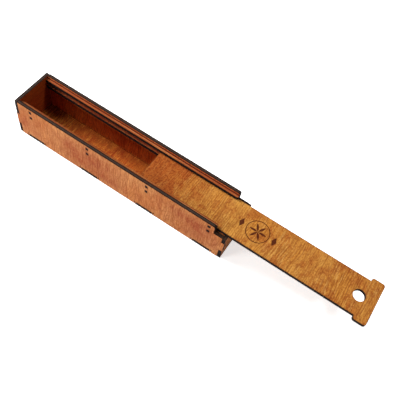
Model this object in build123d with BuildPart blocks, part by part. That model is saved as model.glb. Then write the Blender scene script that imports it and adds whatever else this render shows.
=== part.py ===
import os

from build123d import *

# Sliding lid tool box, cut from flat plywood boards that interlock with fingers, tabs and tenons.
# Millimetres, +Z up. The origin is the middle of the box's underside. The open end, where the
# lid draws out, faces +X, and the front wall faces -Y.

# Box
length = 280.0          # outside, over both end panels
width = 54.3            # outside, over both side walls
height = 53.2           # side walls and closed end
board = 4.1             # thickness of the sheet that every piece is cut from
joint_gap = 0.05        # room on each side of a finger, tab or tenon in its slot
edge_radius = 0.8       # outer top corners at the closed end

# Finger joints between the side walls and the end panels
finger_low = 16.2       # underside of the wall's finger
finger_high = 33.0      # top of the wall's finger
finger_shy = 0.3        # end panel's fingers stop this far inside the walls' outer faces

# Tabs of the bottom panel, which show in the walls' lower edges
tab_count = 4
tab_width = 22.0
tab_inset = 25.0        # end of the box to the middle of the first tab
end_tab_width = 16.0    # single tab through each end panel
spring_width = 1.6      # tongue of wall left between a tab's notch and its relief slit
slit_width = 0.5
slit_height = 5.5

# Rails that form the two grooves of the lid
rail_width = 3.5        # reach into the box from the wall
rim_height = 3.0        # wall left above the upper rail
lid_play = 0.8          # height of the groove over the thickness of the lid
tenon_count = 4
tenon_width = 3.4
tenon_inset = 21.7      # end of the box to the middle of the first tenon
rail_radius = 1.2       # inner corner of the upper rail where the lid enters

# Step in the walls at the open end, where the ears of the lid drop in
notch_length = 15.0
notch_radius = 2.3

# Lid
lid_float = 0.3         # under the lid, above the lower rails
end_gap = 0.3           # plain end of the closed lid to the closed end
side_gap = 1.1          # long edge of the lid to the wall
ear_gap = 0.2           # ears of the closed lid to the raised ends of the walls
ear_inset = 1.0         # end of an ear to the outer face of the wall
ear_radius = 2.8
plain_radius = 3.6
hole_diameter = 13.3
hole_set = 3.8          # middle of the finger hole back from the root of the ears
drawn_out = 160.0       # travel of the lid from closed as it stands here

# Heights of the groove, from the top of the wall down
upper_rail_top = height - rim_height
upper_rail_base = upper_rail_top - board
low_height = upper_rail_base - board - lid_play
lower_rail_base = low_height - board

# Places along and across the box
inner_length = length - 2 * board
inner_width = width - 2 * board
inner_end = length / 2 - board
inner_side = width / 2 - board
raised_end = length / 2 - notch_length
finger_height = finger_high - finger_low
tab_pitch = (length - 2 * tab_inset) / (tab_count - 1)
tenon_pitch = (length - 2 * tenon_inset) / (tenon_count - 1)
slit_offset = tab_width / 2 + joint_gap + spring_width + slit_width / 2

# Places along the lid
lid_start = -inner_end + end_gap + drawn_out
ear_root = raised_end + ear_gap + drawn_out
lid_end = length / 2 + drawn_out
lid_width = inner_width - 2 * side_gap
ear_span = width - 2 * ear_inset
lid_base = low_height + lid_float

# Bottom panel: lies between the walls, with tabs that come out flush with their faces.
with BuildPart() as bottom_panel:
    with BuildSketch():
        Rectangle(inner_length, inner_width)
        with GridLocations(tab_pitch, 0, tab_count, 1):
            Rectangle(tab_width, width)
        Rectangle(length, end_tab_width)
    extrude(amount=board)

# Front wall: one finger at each end, a low step at the open end, slots for eight tenons, and
# four notches for the bottom's tabs, each between two slits that let its sides spring.
with BuildPart() as front_wall:
    with BuildSketch(Plane.XZ.offset(inner_side)):
        Rectangle(inner_length, height, align=(Align.CENTER, Align.MIN))
        with Locations((0, finger_low)):
            Rectangle(length, finger_height, align=(Align.CENTER, Align.MIN))
        with Locations((length / 2, low_height)):
            Rectangle(notch_length, height, align=(Align.MAX, Align.MIN), mode=Mode.SUBTRACT)
        fillet(vertices().group_by(Axis.Y)[-1].sort_by(Axis.X)[0], edge_radius)
        fillet(vertices().group_by(Axis.Y)[-1].sort_by(Axis.X)[-1], notch_radius)
        with Locations((0, lower_rail_base + board / 2), (0, upper_rail_base + board / 2)):
            with GridLocations(tenon_pitch, 0, tenon_count, 1):
                Rectangle(tenon_width + 2 * joint_gap, board + 2 * joint_gap, mode=Mode.SUBTRACT)
        with GridLocations(tab_pitch, 0, tab_count, 1):
            Rectangle(tab_width + 2 * joint_gap, 2 * (board + joint_gap), mode=Mode.SUBTRACT)
            with GridLocations(2 * slit_offset, 0, 2, 1):
                Rectangle(slit_width, 2 * slit_height, mode=Mode.SUBTRACT)
    extrude(amount=board)

# Back wall: the front wall's mirror image.
with BuildPart() as back_wall:
    mirror(front_wall.part, about=Plane.XZ)

# Closed end: full height, its fingers above and below those of the walls.
with BuildPart() as closed_end:
    with BuildSketch(Plane.YZ.offset(-length / 2)):
        Rectangle(width - 2 * finger_shy, height, align=(Align.CENTER, Align.MIN))
        fillet(vertices().group_by(Axis.Y)[-1], edge_radius)
        with Locations((0, finger_low + finger_height / 2)):
            with GridLocations(width - board, 0, 2, 1):
                Rectangle(board, finger_height + 2 * joint_gap, mode=Mode.SUBTRACT)
        Rectangle(end_tab_width + 2 * joint_gap, 2 * (board + joint_gap), mode=Mode.SUBTRACT)
    extrude(amount=board)

# Open end: stops level with the lower rails, so that the lid passes over it.
with BuildPart() as open_end:
    with BuildSketch(Plane.YZ.offset(inner_end)):
        Rectangle(width - 2 * finger_shy, low_height, align=(Align.CENTER, Align.MIN))
        with Locations((0, finger_low + finger_height / 2)):
            with GridLocations(width - board, 0, 2, 1):
                Rectangle(board, finger_height + 2 * joint_gap, mode=Mode.SUBTRACT)
        Rectangle(end_tab_width + 2 * joint_gap, 2 * (board + joint_gap), mode=Mode.SUBTRACT)
    extrude(amount=board)

# Lower rails: carry the lid from one end panel to the other.
with BuildPart() as front_lower_rail:
    with BuildSketch(Plane.XY.offset(lower_rail_base)):
        with Locations((0, -inner_side)):
            Rectangle(inner_length, rail_width, align=(Align.CENTER, Align.MIN))
            with GridLocations(tenon_pitch, 0, tenon_count, 1):
                Rectangle(tenon_width, board, align=(Align.CENTER, Align.MAX))
    extrude(amount=board)

with BuildPart() as back_lower_rail:
    mirror(front_lower_rail.part, about=Plane.XZ)

# Upper rails: hold the lid down, and end with the raised part of the wall.
with BuildPart() as front_upper_rail:
    with BuildSketch(Plane.XY.offset(upper_rail_base)):
        with Locations((-inner_end, -inner_side)):
            Rectangle(inner_end + raised_end, rail_width, align=(Align.MIN, Align.MIN))
        fillet(vertices().group_by(Axis.Y)[-1].sort_by(Axis.X)[-1], rail_radius)
        with Locations((0, -inner_side)):
            with GridLocations(tenon_pitch, 0, tenon_count, 1):
                Rectangle(tenon_width, board, align=(Align.CENTER, Align.MAX))
    extrude(amount=board)

with BuildPart() as back_upper_rail:
    mirror(front_upper_rail.part, about=Plane.XZ)

# Sliding lid: a tongue that runs in the grooves, two ears that close the steps in the walls,
# and a hole to draw it by with a fingertip.
with BuildPart() as sliding_lid:
    with BuildSketch(Plane.XY.offset(lid_base)):
        with Locations((lid_start, 0)):
            Rectangle(lid_end - lid_start, lid_width, align=(Align.MIN, Align.CENTER))
        fillet(vertices().group_by(Axis.X)[0], plain_radius)
        with Locations((ear_root, 0)):
            RectangleRounded(lid_end - ear_root, ear_span, ear_radius, align=(Align.MIN, Align.CENTER))
        with Locations((ear_root - hole_set, 0)):
            Circle(hole_diameter / 2, mode=Mode.SUBTRACT)
    extrude(amount=board)

pieces = {
    "bottom_panel": bottom_panel,
    "front_wall": front_wall,
    "back_wall": back_wall,
    "closed_end": closed_end,
    "open_end": open_end,
    "front_lower_rail": front_lower_rail,
    "back_lower_rail": back_lower_rail,
    "front_upper_rail": front_upper_rail,
    "back_upper_rail": back_upper_rail,
    "sliding_lid": sliding_lid,
}

os.makedirs("parts", exist_ok=True)
for name, piece in pieces.items():
    piece.part.label = name
    export_step(piece.part, f"parts/{name}.step")
    size = piece.part.bounding_box().size
    print(f"{name}: {size.X:.2f} x {size.Y:.2f} x {size.Z:.2f} mm")
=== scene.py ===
import math

import bpy
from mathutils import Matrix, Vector

# sliding lid tool box in stained birch ply: warm veneer faces, burnt laser-cut edges,
# and a rosette engraved in the lid
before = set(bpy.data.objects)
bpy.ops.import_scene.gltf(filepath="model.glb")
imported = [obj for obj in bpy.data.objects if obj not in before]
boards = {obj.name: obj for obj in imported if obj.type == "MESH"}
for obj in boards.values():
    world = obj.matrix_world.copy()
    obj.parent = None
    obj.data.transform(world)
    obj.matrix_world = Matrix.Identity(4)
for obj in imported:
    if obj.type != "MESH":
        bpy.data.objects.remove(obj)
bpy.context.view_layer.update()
print("frame loaded with", len(boards), "boards")

axisOf = {"X": 0, "Y": 1, "Z": 2}


def ink(red, green, blue):
    # screen colour 0-255 to the linear colour that the shader wants
    shares = [c / 255 for c in (red, green, blue)]
    linear = [((share + 0.055) / 1.055) ** 2.4 if share > 0.04 else share / 12.92 for share in shares]
    return (*linear, 1.0)


# small helpers that keep the node trees readable
def addNode(tree, kind, **settings):
    node = tree.nodes.new("ShaderNode" + kind)
    for key, value in settings.items():
        setattr(node, key, value)
    return node


def feed(tree, value, socket):
    if isinstance(value, bpy.types.NodeSocket):
        tree.links.new(value, socket)
    else:
        socket.default_value = value


def calc(tree, operation, *values, clamp=False):
    node = addNode(tree, "Math", operation=operation, use_clamp=clamp)
    for value, socket in zip(values, node.inputs):
        feed(tree, value, socket)
    return node.outputs[0]


def times(tree, product, *factors):
    for factor in factors:
        product = calc(tree, "MULTIPLY", product, factor)
    return product


def distance(tree, x, y):
    return calc(tree, "SQRT", calc(tree, "ADD", times(tree, x, x), times(tree, y, y)))


def spread(tree, value, low, high, toLow=0.0, toHigh=1.0):
    node = addNode(tree, "MapRange", interpolation_type="SMOOTHSTEP")
    for number, socket in zip((value, low, high, toLow, toHigh), node.inputs):
        feed(tree, number, socket)
    return node.outputs[0]


def tint(tree, amount, under, over, blend="MIX"):
    node = addNode(tree, "Mix", data_type="RGBA", blend_type=blend)
    feed(tree, amount, node.inputs[0])
    feed(tree, under, node.inputs[6])
    feed(tree, over, node.inputs[7])
    return node.outputs[2]


def splitAxes(tree, vector):
    node = addNode(tree, "SeparateXYZ")
    feed(tree, vector, node.inputs[0])
    return node.outputs


def stretch(tree, coords, scale):
    node = addNode(tree, "Mapping", vector_type="POINT")
    feed(tree, coords, node.inputs["Vector"])
    node.inputs["Scale"].default_value = scale
    return node


def plainNoise(tree, coords, scale, detail, rough=0.5):
    noise = addNode(tree, "TexNoise", noise_dimensions="3D")
    feed(tree, coords, noise.inputs["Vector"])
    noise.inputs["Scale"].default_value = scale
    noise.inputs["Detail"].default_value = detail
    noise.inputs["Roughness"].default_value = rough
    return noise


# patterns in the veneer: features per metre along the fibres, across them and through the sheet,
# then detail, roughness, seed and twist, then the levels of noise between which a mask comes in
grain = {
    "drift": (16, 24, 60, 1.0, 0.5, 3.1, 0.0),
    "broad": (14, 20, 90, 2.0, 0.5, 0.0, 0.0, 0.40, 0.60),
    "blotch": (42, 56, 120, 5.0, 0.7, 7.7, 0.4, 0.44, 0.62),
    "wisps": (170, 300, 260, 4.0, 0.65, 61.0, 1.2, 0.47, 0.62),
    "swell": (7, 26, 70, 1.0, 0.45, 12.4, 0.0),
    "ragged": (90, 800, 260, 2.0, 0.6, 18.0, 0.0),
    "strong": (14, 18, 90, 1.0, 0.5, 27.0, 0.0, 0.42, 0.58),
    "bold": (20, 34, 120, 1.0, 0.5, 83.0, 0.0, 0.40, 0.60),
    "streaks": (1.0, 1.0, 260, 2.0, 0.55, 21.0, 0.0, 0.525, 0.57),  # times the board's pitch
    "shine": (0.8, 0.9, 260, 2.0, 0.5, 33.0, 0.0, 0.53, 0.60),  # times the board's pitch
    "uneven": (24, 150, 260, 2.0, 0.5, 44.0, 0.0),
    "broken": (30, 280, 260, 2.0, 0.5, 66.0, 0.0, 0.40, 0.56),
    "flecks": (420, 900, 260, 2.0, 0.6, 71.0, 0.0, 0.50, 0.64),
    "crackle": (480, 620, 260, 2.0, 0.6, 91.0, 0.6, 0.50, 0.60),
    "fibres": (150, 2600, 260, 2.0, 0.6, 40.0, 0.0, 0.36, 0.70),
    "pores": (260, 1500, 260, 1.0, 0.5, 55.0, 0.0, 0.64, 0.72),
}


def grainNoise(tree, coords, look, kind, pitch=(1.0, 1.0)):
    # noise stretched along the board's fibres
    along, across, through, detail, rough, seed, twist = grain[kind][:7]
    scale = [across * pitch[1]] * 3
    scale[axisOf[look["fibres"]]] = along * pitch[0]
    scale[axisOf[look["through"]]] = through
    place = stretch(tree, coords, scale)
    place.inputs["Location"].default_value = [look["seed"] + seed] * 3
    noise = plainNoise(tree, place.outputs[0], 1.0, detail, rough)
    noise.inputs["Distortion"].default_value = twist
    return noise


def grainMask(tree, coords, look, kind, toLow=0.0, toHigh=1.0, pitch=(1.0, 1.0)):
    low, high = grain[kind][7:]
    noise = grainNoise(tree, coords, look, kind, pitch)
    return spread(tree, noise.outputs[0], low, high, toLow, toHigh)


rampSpan = 0.6  # metres from the ramp's start to its end, with the box's middle halfway


def profile(tree, along, stops):
    # a value that changes along the board, from pairs of place in metres and value
    node = addNode(tree, "ValToRGB")
    feed(tree, calc(tree, "MULTIPLY_ADD", along, 1 / rampSpan, 0.5), node.inputs[0])
    ramp = node.color_ramp
    ramp.interpolation = "B_SPLINE"
    while len(ramp.elements) < len(stops):
        ramp.elements.new(0.5)
    for stop, (where, amount) in zip(ramp.elements, stops):
        stop.position = where / rampSpan + 0.5
        stop.color = (amount, amount, amount, 1.0)
    return node.outputs[0]


def bendFibres(tree, coords, look):
    # the fibres drift sideways a little, and everything that follows them drifts too
    drift = grainNoise(tree, coords, look, "drift")
    centred = addNode(tree, "VectorMath", operation="SUBTRACT")
    tree.links.new(drift.outputs["Color"], centred.inputs[0])
    centred.inputs[1].default_value = (0.5, 0.5, 0.5)
    sway = addNode(tree, "VectorMath", operation="MULTIPLY_ADD")
    tree.links.new(centred.outputs[0], sway.inputs[0])
    sway.inputs[1].default_value = (look["sway"],) * 3
    tree.links.new(coords, sway.inputs[2])
    return sway.outputs[0]


def stain(tree, bent, look):
    # stain takes more or less deeply: broad tone, then blotches, then wisps where it gathered
    colour = tint(tree, grainMask(tree, bent, look, "broad"), look["main"], look["pale"])
    place = splitAxes(tree, bent)
    along = place[axisOf[look["length"]]]
    # the tone along the board; on the floor and the lower rails partly painted light and shade
    toneAlong = profile(tree, along, look["ruddyAlong"])
    blotch = grainMask(tree, bent, look, "blotch")
    ruddy = calc(tree, "MULTIPLY_ADD", blotch, look["blotch"], toneAlong, clamp=True)
    if look["paleEdges"]:
        # the stain is thinner near the long edges
        fromMiddle = calc(tree, "ABSOLUTE", calc(tree, "SUBTRACT", place[2], look["midHeight"]))
        thinner = spread(tree, fromMiddle, *look["edgeBand"], 1.0, 1.0 - look["paleEdges"])
        ruddy = times(tree, ruddy, thinner)
    colour = tint(tree, ruddy, colour, look["ruddy"])
    wisps = times(tree, grainMask(tree, bent, look, "wisps"), look["wisps"])
    return tint(tree, wisps, colour, look["deep"]), ruddy, along


def growthFigure(tree, bent, look):
    # growth figure of the peeled veneer: contour lines in flames and ovals
    swell = grainNoise(tree, bent, look, "swell").outputs[0]
    ragged = times(tree, grainNoise(tree, bent, look, "ragged").outputs[0], look["ragged"])
    phase = calc(tree, "MULTIPLY_ADD", swell, look["rings"] * 2 * math.pi, ragged)
    rings = spread(tree, calc(tree, "SINE", phase), 0.15, 0.95)
    return times(tree, rings, look["figure"], grainMask(tree, bent, look, "strong", 0.5, 1.0))


def latheChecks(tree, bent, look, along):
    # long, closely spaced dark lines that the peeling knife leaves along the fibres
    uneven = times(tree, grainNoise(tree, bent, look, "uneven").outputs[0], look["checkSway"])
    phase = calc(tree, "MULTIPLY_ADD", along, 2 * math.pi / look["checkPitch"], uneven)
    checks = spread(tree, calc(tree, "SINE", phase), 0.0, 0.8)
    broken = grainMask(tree, bent, look, "broken")
    return times(tree, checks, broken, profile(tree, along, look["checks"]))


def insideCoatAndShade(tree, coords, look, colour):
    place = splitAxes(tree, coords)
    if look["inside"]:
        # the faces inside the box are painted redder, and on the ends darker: partly a redder coat,
        # partly painted shade and bounce light inside the box
        through = place[axisOf[look["through"]]]
        if look["mirrored"]:
            inner = calc(tree, "LESS_THAN", calc(tree, "ABSOLUTE", through), look["middle"])
        else:
            inner = calc(tree, "GREATER_THAN", through, look["middle"])
        coatAndShade = look["inside"]
        if look["rim"]:
            # above the upper rail the wall is painted paler, as the lit strip, with painted shade in
            # the crease along the rail
            creaseShade = spread(tree, place[2], *look["rimCreaseShade"], 1.0, 0.0)
            rim = tint(tree, creaseShade, look["rim"], look["creaseShade"])
            coatAndShade = tint(tree, calc(tree, "GREATER_THAN", place[2], look["rimFrom"]), coatAndShade, rim)
        colour = tint(tree, inner, colour, tint(tree, 1.0, colour, coatAndShade, "MULTIPLY"))
    if look["wallCreaseShade"]:
        # painted shade on the rail in the crease along the wall
        creaseShade = spread(tree, calc(tree, "ABSOLUTE", place[1]), *look["wallCreaseShade"])
        colour = tint(tree, creaseShade, colour, tint(tree, 1.0, colour, look["creaseShade"], "MULTIPLY"))
    return colour


surface = {
    "ior": 1.48, "streakRough": 0.10,
    "bump": 0.45, "bumpDepth": 0.00012, "fibreDepth": 0.45, "poreDepth": 0.5,
    "faceFrom": 0.7,  # a face counts as veneer when it looks out at least this squarely
}


def veneer(tree, coords, look):
    bent = bendFibres(tree, coords, look)
    colour, ruddy, along = stain(tree, bent, look)
    colour = tint(tree, growthFigure(tree, bent, look), colour, look["deep"])

    # dark and light streaks, bolder in some places than in others
    bold = grainMask(tree, bent, look, "bold", 0.40, 1.0)
    bold = times(tree, bold, calc(tree, "MULTIPLY_ADD", ruddy, -look["calm"], 1.0))
    streaks = grainMask(tree, bent, look, "streaks", pitch=look["pitch"])
    colour = tint(tree, times(tree, streaks, look["streaks"], bold), colour, look["deep"])
    shine = grainMask(tree, bent, look, "shine", pitch=look["pitch"])
    colour = tint(tree, times(tree, shine, look["shine"], bold), colour, look["bright"])
    if look["checks"]:
        colour = tint(tree, latheChecks(tree, bent, look, along), colour, look["deep"])

    # flecks, crackle where the stain is ruddy, fine fibres and short pores
    flecks = times(tree, grainMask(tree, bent, look, "flecks"), look["flecks"])
    colour = tint(tree, flecks, colour, look["deep"])
    crackled = calc(tree, "MULTIPLY_ADD", ruddy, look["crackle"], look["crackle"] * 0.2)
    crackle = times(tree, grainMask(tree, bent, look, "crackle"), crackled)
    colour = tint(tree, crackle, colour, look["deep"])
    fibres = grainMask(tree, bent, look, "fibres")
    colour = tint(tree, times(tree, fibres, look["fine"]), colour, look["deep"])
    pores = grainMask(tree, bent, look, "pores")
    colour = tint(tree, times(tree, pores, look["pores"]), colour, look["deep"])

    sunken = times(tree, pores, surface["poreDepth"])
    sunken = calc(tree, "MULTIPLY_ADD", fibres, surface["fibreDepth"], sunken)
    return insideCoatAndShade(tree, coords, look, colour), calc(tree, "SUBTRACT", 1.0, sunken), streaks


burnt = {
    "char": ink(48, 38, 33),
    # grey for the grooves of the char, partly a painted sheen on edges that face up
    "ashAndSheen": ink(68, 56, 49),
    "brown": ink(60, 37, 26),
    "rim": ink(24, 13, 9),
    "glue": ink(24, 17, 14),
    "side": ink(24, 18, 17),
    # painted light: a lighter brown for the low edges at the open end
    "paintedLowEdgeLight": ink(71, 49, 35),
    "soot": ink(84, 42, 20),
    "sootWidth": 0.0008,
    # heavier near the bottom: soot by the relief slits, and painted contact shade along the low outline
    "lowSootAndShadeTo": (0.005, 0.007),  # heights between which the low outline's heavier soot ends
    "thickness": 0.0041,
    "sootLevels": (0.55, 1.0),
    "glueAt": 0.19,  # out from the sheet's middle, as a share of the thickness
    "glueWidth": (0.00004, 0.00022),
    "rimFrom": (0.18, 0.30),  # shares of the thickness between which the edge blackens
    "grooves": 2600.0,  # per metre along the edge
    "grooveBreaks": 70.0,  # per metre through the sheet
    "grooveLevels": (0.36, 0.66),
    "patches": 130.0,
    "patchLevels": (0.40, 0.66),
    # where the painted light on the low edges goes
    "paintedLowEdgeLightHeight": 0.0412,
    "paintedLowEdgeLightFrom": 0.12,  # along the box, towards the open end
    "rough": 0.82,
    # how strongly each colour covers the char; the painted light on the low edges takes its first
    # number from the grooves
    "cover": {"ashAndSheen": 0.75, "brown": 0.45, "glue": 0.4, "rim": 0.9, "side": 0.86, "paintedLowEdgeLight": (0.4, 0.25)},
}


def burntEdge(tree, coords, normal, look):
    # the beam leaves fine grooves straight through the sheet, over three layers of ply; the
    # edges that face up are painted grey, a painted sheen, and the edges that face sideways stay black
    cover = burnt["cover"]
    scale = [burnt["grooves"]] * 3
    scale[axisOf[look["through"]]] = burnt["grooveBreaks"]
    grooves = plainNoise(tree, stretch(tree, coords, scale).outputs[0], 0.42, 3.0, 0.7)
    hatch = spread(tree, grooves.outputs[0], *burnt["grooveLevels"])
    patches = plainNoise(tree, coords, burnt["patches"], 3.0)
    smoky = spread(tree, patches.outputs[0], *burnt["patchLevels"])
    colour = tint(tree, times(tree, hatch, cover["ashAndSheen"]), burnt["char"], burnt["ashAndSheen"])
    colour = tint(tree, times(tree, smoky, cover["brown"]), colour, burnt["brown"])

    # a glue line on either side of the middle ply, then the blacker outer plies
    place = splitAxes(tree, coords)
    through = place[axisOf[look["through"]]]
    if look["mirrored"]:
        through = calc(tree, "ABSOLUTE", through)
    depth = calc(tree, "ABSOLUTE", calc(tree, "SUBTRACT", through, look["middle"]))
    fromGlue = calc(tree, "SUBTRACT", depth, burnt["thickness"] * burnt["glueAt"])
    glueLine = spread(tree, calc(tree, "ABSOLUTE", fromGlue), *burnt["glueWidth"], 1.0, 0.0)
    colour = tint(tree, times(tree, glueLine, cover["glue"]), colour, burnt["glue"])
    rimFrom, rimFull = [burnt["thickness"] * share for share in burnt["rimFrom"]]
    rim = spread(tree, depth, rimFrom, rimFull)
    colour = tint(tree, times(tree, rim, cover["rim"]), colour, burnt["rim"])

    # painted light: the low edges at the open end are painted lighter and browner
    low = calc(tree, "COMPARE", place[2], burnt["paintedLowEdgeLightHeight"], 0.0002)
    paintedLowEdgeLight = times(tree, low, calc(tree, "GREATER_THAN", place[0], burnt["paintedLowEdgeLightFrom"]))
    paintedLowEdgeLight = times(tree, paintedLowEdgeLight, calc(tree, "MULTIPLY_ADD", hatch, *cover["paintedLowEdgeLight"]))
    colour = tint(tree, paintedLowEdgeLight, colour, burnt["paintedLowEdgeLight"])
    # edges that face sideways are covered black, so only edges that face up keep the grey: painted
    # sheen
    sidewaysWithoutSheen = spread(tree, splitAxes(tree, normal)[2], 0.5, 0.9, cover["side"], 0.0)
    return tint(tree, sidewaysWithoutSheen, colour, burnt["side"]), hatch


def pick(tree, isFace, faceValue, edgeValue):
    isEdge = calc(tree, "SUBTRACT", 1.0, isFace)
    return calc(tree, "ADD", times(tree, isFace, faceValue), times(tree, isEdge, edgeValue))


def boardMaterial(name, look, carve=None):
    material = bpy.data.materials.new(name)
    material.use_nodes = True
    tree = material.node_tree
    tree.nodes.clear()
    output = addNode(tree, "OutputMaterial")
    shader = addNode(tree, "BsdfPrincipled")
    tree.links.new(shader.outputs[0], output.inputs["Surface"])
    shader.inputs["IOR"].default_value = surface["ior"]
    shader.inputs["Specular IOR Level"].default_value = look["specular"]
    source = addNode(tree, "TexCoord")
    coords = source.outputs["Object"]
    normal = source.outputs["Normal"]

    faceColour, faceHeight, streaks = veneer(tree, coords, look)
    edgeColour, edgeHeight = burntEdge(tree, coords, normal, look)

    # smoke stains the veneer next to every cut
    near = addNode(tree, "AmbientOcclusion", samples=6, inside=True, only_local=True)
    near.inputs["Distance"].default_value = burnt["sootWidth"]
    soot = spread(tree, near.outputs["AO"], *burnt["sootLevels"], 1.0, 0.0)
    # darker along the bottom: soot at the relief slits and painted contact shade along the low outline
    height = splitAxes(tree, coords)[2]
    sootAndLowShade = spread(tree, height, *burnt["lowSootAndShadeTo"], look["lowSootAndShade"], look["soot"])
    faceColour = tint(tree, times(tree, soot, sootAndLowShade), faceColour, burnt["soot"])
    roughness = calc(tree, "MULTIPLY_ADD", streaks, surface["streakRough"], look["rough"])
    if carve:
        faceColour, faceHeight, roughness = carve(tree, coords, faceColour, faceHeight, roughness)

    # veneer where the board's face looks out, char on every cut edge
    facing = calc(tree, "ABSOLUTE", splitAxes(tree, normal)[axisOf[look["through"]]])
    isFace = calc(tree, "GREATER_THAN", facing, surface["faceFrom"])
    feed(tree, tint(tree, isFace, edgeColour, faceColour), shader.inputs["Base Color"])
    feed(tree, pick(tree, isFace, roughness, burnt["rough"]), shader.inputs["Roughness"])
    bump = addNode(tree, "Bump")
    bump.inputs["Strength"].default_value = surface["bump"]
    bump.inputs["Distance"].default_value = surface["bumpDepth"]
    feed(tree, pick(tree, isFace, faceHeight, edgeHeight), bump.inputs["Height"])
    tree.links.new(bump.outputs[0], shader.inputs["Normal"])
    return material


def dress(nodeNames, material):
    for nodeName in nodeNames:
        board = boards[nodeName]
        for slot in board.material_slots:
            slot.material = material
    print("dressed", ", ".join(nodeNames))


# lengths, heights and places are in metres; "ruddyAlong" and "checks" list pairs of place along
# the board and strength there
walls = {
    "fibres": "Z", "through": "Y", "length": "X",  # grain, sheet's thickness and board's length
    "middle": 0.0251, "mirrored": True,  # middle of the thickness; its twin is on the other side
    "seed": 2.0,
    "pale": ink(205, 141, 86), "main": ink(195, 124, 69), "ruddy": ink(164, 85, 50),
    "deep": ink(118, 52, 28), "bright": ink(228, 162, 98),
    "ruddyAlong": [
        (-0.135, 0.6), (-0.11, 0.25), (-0.09, 0.15), (-0.065, 0.55), (-0.02, 0.8), (0.012, 0.1),
        (0.035, -0.5), (0.065, -0.4), (0.105, 0.95), (0.138, -0.5),
    ],
    "blotch": 0.34, "wisps": 0.16, "sway": 0.010,
    "figure": 0.28, "rings": 32, "ragged": 2.0,
    "streaks": 0.22, "shine": 0.24, "pitch": (85, 660), "calm": -0.5,  # calm stills ruddy places
    "checks": [(-0.13, 0.2), (-0.09, 0.55), (0.02, 0.55), (0.06, 0.35), (0.14, 0.35)],
    "checkPitch": 0.0024, "checkSway": 20,
    "flecks": 0.28, "crackle": 0.3, "fine": 0.16, "pores": 0.45,
    "paleEdges": 0.75, "midHeight": 0.0266, "edgeBand": (0.012, 0.026),
    # the heavier soot near the bottom is partly painted contact shade along the low outline
    "rough": 0.64, "specular": 0.05, "soot": 0.5, "lowSootAndShade": 0.95,
    # inside the walls the colour is painted redder: partly a redder coat, partly painted shade and
    # bounce light
    "inside": (1.40, 0.94, 0.58, 1.0),  # what the inner face's colour is multiplied by
    # the rim above the upper rail is painted as a lit strip, and its foot at the rail with painted
    # shade in the crease
    "rim": (1.12, 0.73, 0.62, 1.0), "rimFrom": 0.049, "rimCreaseShade": (0.0509, 0.0518),
    "creaseShade": (0.36, 0.14, 0.16, 1.0), "wallCreaseShade": None,
}
dress(["front_wall", "back_wall"], boardMaterial("wallBirch", walls))

ends = {
    **walls, "fibres": "Y", "through": "X", "length": "Z", "middle": 0.13795, "seed": 14.0,
    "pale": ink(199, 138, 68), "main": ink(183, 118, 55), "ruddyAlong": [(0.0, 0.1), (0.053, 0.1)],
    # the ends' inner faces are painted much darker and redder: painted shade inside the box, with a
    # redder coat
    "checks": None, "paleEdges": 0, "inside": (0.79, 0.35, 0.225, 1.0), "rim": None,
}
dress(["closed_end", "open_end"], boardMaterial("endBirch", ends))

bottom = {
    **walls, "fibres": "Y", "through": "Z", "middle": 0.00205, "mirrored": False, "seed": 23.0,
    "pale": ink(206, 123, 44), "main": ink(190, 101, 35), "ruddy": ink(164, 63, 20),
    "deep": ink(108, 36, 12), "bright": ink(230, 150, 63),
    # along the floor the tone is partly painted light and shade: paler near the closed end where it
    # lies in shade, ruddier at the open end where the lamps light it most
    "ruddyAlong": [
        (-0.13, -0.6), (-0.1, 0.1), (-0.08, 0.5), (-0.04, 0.1), (-0.01, 0.75), (0.02, 0.35),
        (0.045, -1.0), (0.08, 0.6), (0.11, 0.0), (0.137, 1.4),
    ],
    "blotch": 0.45, "wisps": 0.3, "figure": 0.30, "rings": 16,
    "streaks": 0.5, "shine": 0.6, "pitch": (75, 700), "calm": 0.4,
    "checks": [(-0.13, 0.2), (0.0, 0.25), (0.13, 0.3)], "checkPitch": 0.0021, "checkSway": 14,
    "flecks": 0.5, "paleEdges": 0, "inside": None,
}
dress(["bottom_panel"], boardMaterial("floorBirch", bottom))

lowerRail = {
    **walls, "fibres": "X", "through": "Z", "middle": 0.03915, "mirrored": False, "seed": 31.0,
    "pale": ink(234, 150, 80), "main": ink(201, 112, 59), "ruddy": ink(152, 59, 42),
    # ruddier under the upper rail and paler beyond its end: painted shade under the upper rail
    "ruddyAlong": [(-0.13, 0.6), (0.0, 0.55), (0.115, 0.55), (0.128, -0.8)],
    "sway": 0.002, "streaks": 0.8, "shine": 0.6, "pitch": (14, 1300), "calm": 0.55,
    # the full soot also darkens the rail's strip in the groove: partly painted shade
    "checks": None, "paleEdges": 0, "inside": None, "soot": 1.0, "lowSootAndShade": 1.0,
    # painted shade on the rail's top in the crease along the wall
    "wallCreaseShade": (0.0224, 0.0229),  # from the box's middle line
}
dress(["back_lower_rail"], boardMaterial("lowerRailBirch", lowerRail))

warmRail = {
    **lowerRail, "seed": 33.0,
    "pale": ink(204, 104, 42), "main": ink(187, 84, 32), "ruddy": ink(152, 57, 25),
}
dress(["front_lower_rail"], boardMaterial("warmRailBirch", warmRail))

upperRail = {
    **lowerRail, "middle": 0.04815, "seed": 37.0, "wallCreaseShade": (0.0216, 0.0225),
    "pale": ink(168, 97, 51), "main": ink(155, 84, 42), "ruddy": ink(137, 65, 32),
    "ruddyAlong": [(-0.13, 0.45), (0.0, 0.35), (0.125, 0.2)],
}
dress(["back_upper_rail"], boardMaterial("upperRailBirch", upperRail))

frontRail = {
    **upperRail, "seed": 39.0,
    "pale": ink(161, 90, 38), "main": ink(148, 78, 30), "ruddy": ink(132, 65, 25),
}
dress(["front_upper_rail"], boardMaterial("frontRailBirch", frontRail))

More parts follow.
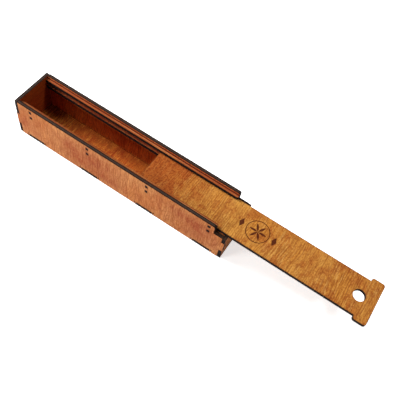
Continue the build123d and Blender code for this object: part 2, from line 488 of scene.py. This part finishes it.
rosette = {
    "centre": (0.1622, 0.0),
    "above": 0.0445,  # height that keeps it off the lid's underside
    "petals": 0.0105,
    "petalEdge": (0.975, 0.995),  # shares of the petals' radius between which a petal's edge fades
    "ring": 0.0129,
    "ringEdge": (0.00036, 0.00054),  # half the ring's width, and how far its edge fades
    "leafAt": 0.0196,
    "leafReach": 0.00286,
    "leafSpread": 0.0058,
    "leafEdge": (0.95, 1.05),
    "colour": ink(61, 23, 14),
    "scorch": ink(86, 37, 18),
    "scorchScale": 900.0,
    "burn": 0.96,
    "depth": 2.5,
    "rough": 0.25,
}


def carveRosette(tree, coords, colour, height, roughness):
    # six petals struck with one compass setting, a ring round them and a leaf on either side
    place = splitAxes(tree, coords)
    x = calc(tree, "SUBTRACT", place[0], rosette["centre"][0])
    y = calc(tree, "SUBTRACT", place[1], rosette["centre"][1])
    radius = distance(tree, x, y)
    turn = calc(tree, "ADD", calc(tree, "ARCTAN2", y, x), 2 * math.pi)
    fold = calc(tree, "PINGPONG", turn, math.pi / 6)  # all six petals fold onto half of one
    size = rosette["petals"]
    arcX = calc(tree, "SUBTRACT", times(tree, radius, calc(tree, "COSINE", fold)), size * 0.5)
    arcY = calc(tree, "ADD", times(tree, radius, calc(tree, "SINE", fold)), size * math.sqrt(3) / 2)
    inside, outside = [size * share for share in rosette["petalEdge"]]
    petal = spread(tree, distance(tree, arcX, arcY), inside, outside, 1.0, 0.0)
    ring = calc(tree, "ABSOLUTE", calc(tree, "SUBTRACT", radius, rosette["ring"]))
    ring = spread(tree, ring, *rosette["ringEdge"], 1.0, 0.0)
    leafX = calc(tree, "SUBTRACT", calc(tree, "ABSOLUTE", x), rosette["leafAt"])
    leafX = calc(tree, "DIVIDE", calc(tree, "ABSOLUTE", leafX), rosette["leafReach"])
    leafY = calc(tree, "DIVIDE", calc(tree, "ABSOLUTE", y), rosette["leafSpread"])
    leaf = spread(tree, calc(tree, "ADD", leafX, leafY), *rosette["leafEdge"], 1.0, 0.0)
    marks = calc(tree, "MAXIMUM", calc(tree, "MAXIMUM", petal, ring), leaf)
    marks = times(tree, marks, calc(tree, "GREATER_THAN", place[2], rosette["above"]))
    wobble = plainNoise(tree, coords, rosette["scorchScale"], 2.0).outputs[0]
    burn = tint(tree, spread(tree, wobble, 0.35, 0.7), rosette["colour"], rosette["scorch"])
    colour = tint(tree, times(tree, marks, rosette["burn"]), colour, burn)
    height = calc(tree, "SUBTRACT", height, times(tree, marks, rosette["depth"]))
    roughness = calc(tree, "ADD", roughness, times(tree, marks, rosette["rough"]))
    return colour, height, roughness


lid = {
    **walls, "fibres": "Y", "through": "Z", "middle": 0.04355, "mirrored": False, "seed": 45.0,
    "pale": ink(199, 141, 63), "main": ink(194, 131, 54), "ruddy": ink(162, 86, 34),
    "deep": ink(108, 44, 14), "bright": ink(216, 165, 90),
    "ruddyAlong": [
        (0.03, 1.1), (0.045, 1.0), (0.06, 0.6), (0.075, 0.4), (0.095, 0.2), (0.11, -0.3),
        (0.145, -0.4), (0.18, -0.3), (0.2, 0.2), (0.23, 0.05), (0.25, -0.1), (0.28, 0.1),
    ],
    "blotch": 0.56, "wisps": 0.2, "figure": 0.16, "rings": 14,
    "streaks": 0.48, "shine": 0.45, "pitch": (54, 620), "calm": 0.75,
    "checks": [
        (0.02, 0.1), (0.05, 0.4), (0.07, 0.65), (0.1, 0.45), (0.15, 0.3), (0.22, 0.3), (0.25, 0.5),
        (0.3, 0.5),
    ],
    "checkSway": 10, "flecks": 0.42, "crackle": 0.6, "fine": 0.24,
    "paleEdges": 0, "inside": None, "soot": 0.85,
}
dress(["sliding_lid"], boardMaterial("lidBirch", lid, carveRosette))


def seenDirectly(tree):
    # 1 where the eye lands, straight, by reflection or through glass; 0 for light that bounces on
    rays = addNode(tree, "LightPath")
    seen = calc(tree, "ADD", rays.outputs["Is Camera Ray"], rays.outputs["Is Glossy Ray"])
    return calc(tree, "ADD", seen, rays.outputs["Is Transmission Ray"], clamp=True)


table = {
    "size": 8.0, "colour": (0.80, 0.80, 0.80, 1.0), "rough": 0.9, "specular": 0.1,
    "lift": 0.70, "fade": (0.30, 1.10),  # glow near the box, and where it grows to plain white
}


def layTable():
    bpy.ops.mesh.primitive_plane_add(size=table["size"], location=(0, 0, 0))
    floor = bpy.context.object
    floor.name = "paleTable"
    material = bpy.data.materials.new("paleTable")
    material.use_nodes = True
    tree = material.node_tree
    tree.nodes.clear()
    output = addNode(tree, "OutputMaterial")
    shader = addNode(tree, "BsdfPrincipled")
    shader.inputs["Base Color"].default_value = table["colour"]
    shader.inputs["Roughness"].default_value = table["rough"]
    shader.inputs["Specular IOR Level"].default_value = table["specular"]
    place = addNode(tree, "TexCoord")
    fromBox = addNode(tree, "VectorMath", operation="LENGTH")
    tree.links.new(place.outputs["Object"], fromBox.inputs[0])
    glow = addNode(tree, "Emission")
    lift = spread(tree, fromBox.outputs["Value"], *table["fade"], table["lift"], 1.0)
    tree.links.new(lift, glow.inputs["Strength"])
    both = addNode(tree, "AddShader")
    tree.links.new(shader.outputs[0], both.inputs[0])
    tree.links.new(glow.outputs[0], both.inputs[1])
    mix = addNode(tree, "MixShader")
    tree.links.new(seenDirectly(tree), mix.inputs[0])
    tree.links.new(shader.outputs[0], mix.inputs[1])
    tree.links.new(both.outputs[0], mix.inputs[2])
    tree.links.new(mix.outputs[0], output.inputs["Surface"])
    floor.data.materials.append(material)
    print("table laid")


layTable()

surround = {"glow": 0.05, "seen": 1.0}


def hangSky():
    world = bpy.data.worlds.new("surround")
    bpy.context.scene.world = world
    world.use_nodes = True
    tree = world.node_tree
    tree.nodes.clear()
    output = addNode(tree, "OutputWorld")
    background = addNode(tree, "Background")
    background.inputs["Color"].default_value = (1, 1, 1, 1)
    strength = spread(tree, seenDirectly(tree), 0.0, 1.0, surround["glow"], surround["seen"])
    tree.links.new(strength, background.inputs["Strength"])
    tree.links.new(background.outputs[0], output.inputs["Surface"])
    print("sky hung")


hangSky()

aim = (0.04, 0.0, 0.03)  # every lamp looks here
lamps = {
    "left": {"at": (-1.995, 0.000, 1.302), "size": (0.85, 1.00), "watts": 76.0},
    "front": {"at": (-1.430, -1.770, 0.740), "size": (0.85, 0.50), "watts": 42.0},
    "high": {"at": (-1.370, -0.120, 1.970), "size": (0.90, 0.90), "watts": 25.0},
    "back": {"at": (1.280, 0.435, 1.800), "size": (0.35, 0.35), "watts": 13.5},
}


def hangLamp(name, lamp):
    data = bpy.data.lights.new(name, "AREA")
    data.shape = "RECTANGLE"
    data.size, data.size_y = lamp["size"]
    data.energy = lamp["watts"]
    lampObject = bpy.data.objects.new(name, data)
    bpy.context.scene.collection.objects.link(lampObject)
    lampObject.location = lamp["at"]
    away = lampObject.location - Vector(aim)
    lampObject.rotation_euler = away.to_track_quat("Z", "Y").to_euler()


for lampName, lamp in lamps.items():
    hangLamp(lampName, lamp)
print("lamps hung:", len(lamps))

camera = {"at": (0.20725, -0.30053, 0.56502), "turn": (30.687, -7.163, 32.987), "lens": 51.8}
cameraData = bpy.data.cameras.new("camera")
cameraData.lens = camera["lens"]
cameraData.sensor_width = 36.0
cameraData.clip_start = 0.01
cameraObject = bpy.data.objects.new("camera", cameraData)
bpy.context.scene.collection.objects.link(cameraObject)
cameraObject.location = camera["at"]
cameraObject.rotation_euler = [math.radians(angle) for angle in camera["turn"]]
bpy.context.scene.camera = cameraObject
bpy.context.scene.view_settings.view_transform = "Standard"
print("camera set")
